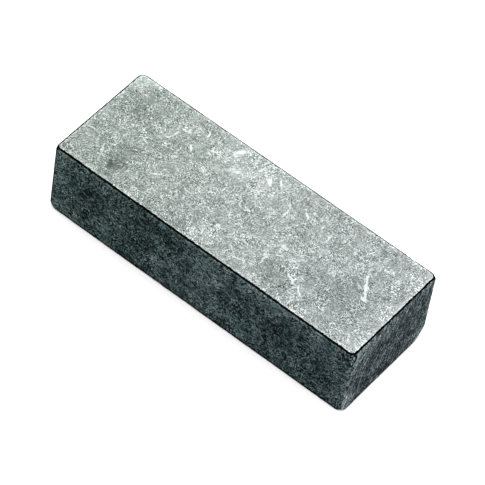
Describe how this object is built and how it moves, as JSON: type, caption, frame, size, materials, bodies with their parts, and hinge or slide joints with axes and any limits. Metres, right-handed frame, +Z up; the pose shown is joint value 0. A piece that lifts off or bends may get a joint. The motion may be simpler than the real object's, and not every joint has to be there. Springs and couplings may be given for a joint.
{
  "type": "sharpening whetstone",
  "caption": "Rectangular bench whetstone cut from one block of grey-green natural stone, with a flat honed top, darker sawn sides, rubbed edges and worn corners.",
  "frame": {"origin": "middle of the flat face that the stone rests on", "axes": "+X along the length, +Y across the width, +Z up out of the honing face"},
  "size_m": [0.1, 0.036, 0.025],
  "materials": {
    "natural_stone": "matt natural stone: pale grey-green and fibrous where it is honed on top, dark grey-green where it is sawn"
  },
  "bodies": {
    "root": {"whetstone_block": "natural_stone"}
  },
  "joints": []
}
